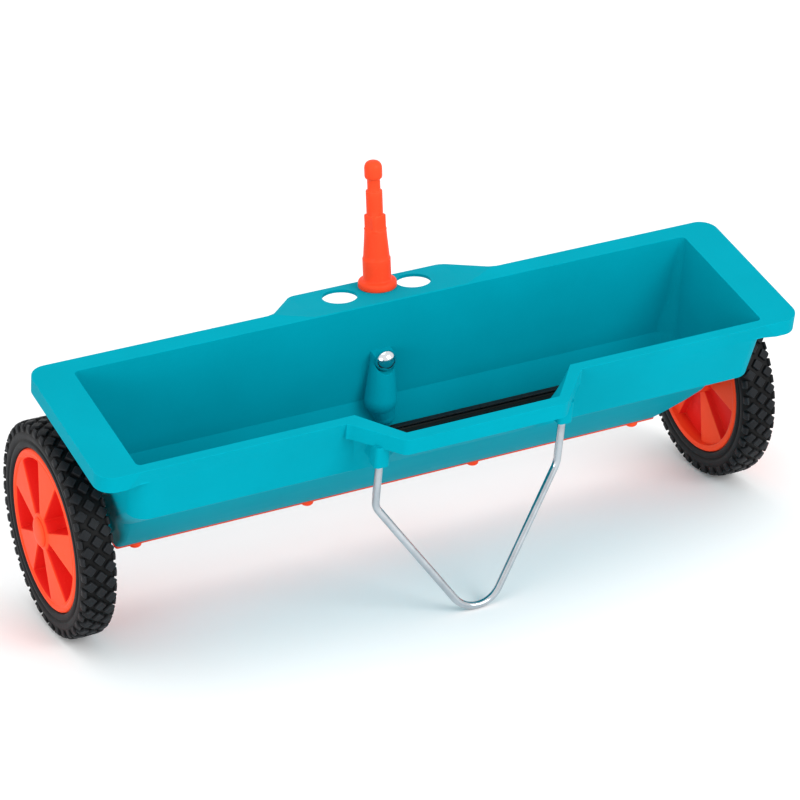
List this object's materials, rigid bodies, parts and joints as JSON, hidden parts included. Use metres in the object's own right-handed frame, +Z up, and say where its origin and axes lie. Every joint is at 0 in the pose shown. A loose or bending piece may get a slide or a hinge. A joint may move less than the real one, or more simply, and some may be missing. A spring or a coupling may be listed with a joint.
{
  "type": "drop spreader",
  "caption": "Push drop spreader: long moulded trough hopper on an axle with block-tread wheels, wire rest in front, metering roller and slide below, plug-on handle adapter.",
  "frame": {"origin": "on the ground plane under the middle of the object's bounding box", "axes": "+X along the hopper and axle, towards the free wheel; +Y to the rear, where the user walks; +Z up"},
  "size_m": [0.6054, 0.245, 0.3136],
  "materials": {
    "hopper_teal": "satin moulded",
    "orange_plastic": "satin moulded",
    "black_plastic": "matte",
    "black_rubber": "matte",
    "tyre_rubber": "matte, block tread",
    "chrome_wire": "bright",
    "polished_steel": "polished",
    "zinc_steel": "zinc plated"
  },
  "bodies": {
    "hopper": {"hopper_shell": "hopper_teal", "handle_adapter": "orange_plastic", "adapter_washer": "zinc_steel", "adapter_screw": "zinc_steel", "stand_wire": "chrome_wire", "axle_bush_left": "black_plastic", "axle_bush_right": "black_plastic", "seal_lip_rear": "black_rubber", "seal_lip_front": "black_rubber", "guide_buttons": "orange_plastic", "guide_rail_left": "hopper_teal", "guide_rail_right": "hopper_teal", "rail_screws": "zinc_steel", "lever_pin": "polished_steel", "lever_washer": "zinc_steel", "lever_push_nut": "zinc_steel"},
    "drive_axle": {"axle_shaft": "zinc_steel", "dosing_roller": "black_plastic", "roller_pin": "zinc_steel", "wheel_disc_left": "orange_plastic", "tyre_left": "tyre_rubber", "drive_pin": "zinc_steel", "hub_cap_left": "orange_plastic", "axle_clips": "zinc_steel", "retaining_washer": "zinc_steel"},
    "free_wheel": {"wheel_disc_right": "orange_plastic", "tyre_right": "tyre_rubber", "hub_cap_right": "orange_plastic"},
    "metering_slide": {"metering_slide": "orange_plastic"},
    "metering_lever": {"metering_lever": "orange_plastic"}
  },
  "joints": [
    {"name": "axle_spin", "type": "hinge", "parent": "hopper", "child": "drive_axle", "pos_m": [0, 0.03755, 0.08492], "axis": [1, 0, 0], "continuous": true},
    {"name": "free_wheel_spin", "type": "hinge", "parent": "hopper", "child": "free_wheel", "pos_m": [0.2846, 0.03755, 0.08492], "axis": [1, 0, 0], "continuous": true},
    {"name": "lever_swing", "type": "hinge", "parent": "hopper", "child": "metering_lever", "pos_m": [-0.007, 0.05048, 0.16553], "axis": [0, -0.9664, -0.2569], "range_deg": [0, 8.9]},
    {"name": "slide_travel", "type": "slide", "parent": "hopper", "child": "metering_slide", "axis": [1, 0, 0], "range_m": [0, 0.0145]}
  ],
  "couplings": [
    {"joint": "slide_travel", "follows": "lever_swing", "m_per_rad": 0.0932}
  ]
}
